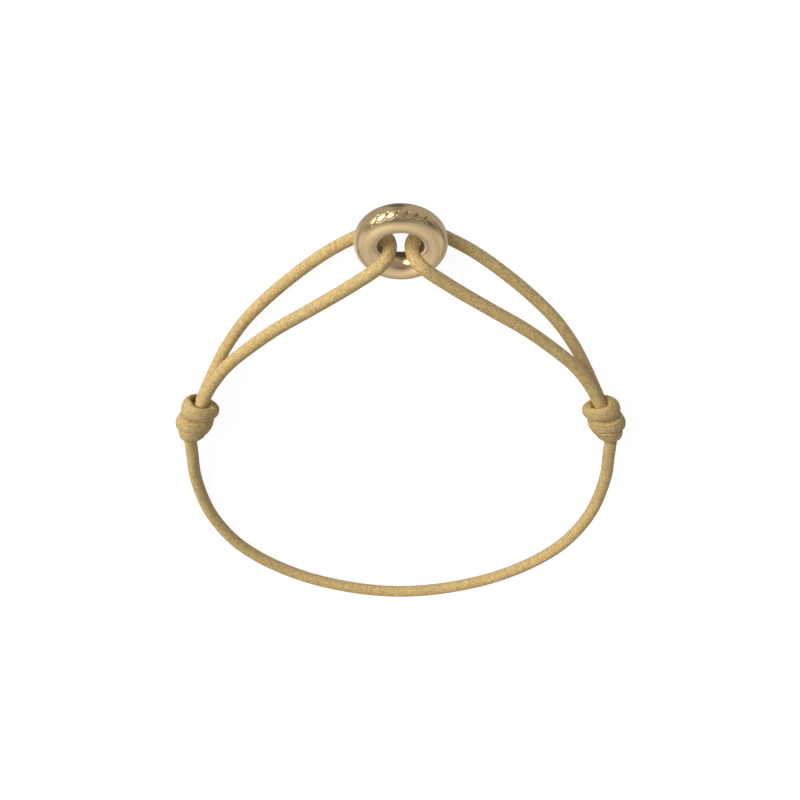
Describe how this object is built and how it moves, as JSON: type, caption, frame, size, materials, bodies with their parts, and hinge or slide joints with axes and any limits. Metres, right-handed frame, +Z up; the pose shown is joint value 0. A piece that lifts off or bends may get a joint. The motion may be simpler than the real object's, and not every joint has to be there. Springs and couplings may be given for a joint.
{
  "type": "cord bracelet",
  "caption": "Thin round cord bracelet with a small rounded metal ring between doubled loops of cord that end in wound knots, lying flat.",
  "frame": {"origin": "on the surface that the bracelet lies on, under the middle of its outline", "axes": "+Z up through the wrist hollow, +Y from the cord at the back towards the ring, +X across the wrist"},
  "size_m": [0.056, 0.0652, 0.0061],
  "materials": {
    "metal": "satin",
    "cord": "fine satin weave"
  },
  "bodies": {
    "root": {"ring": "metal", "cord_back": "cord", "loop_left": "cord", "loop_right": "cord", "knot_left": "cord", "knot_right": "cord"}
  },
  "joints": []
}
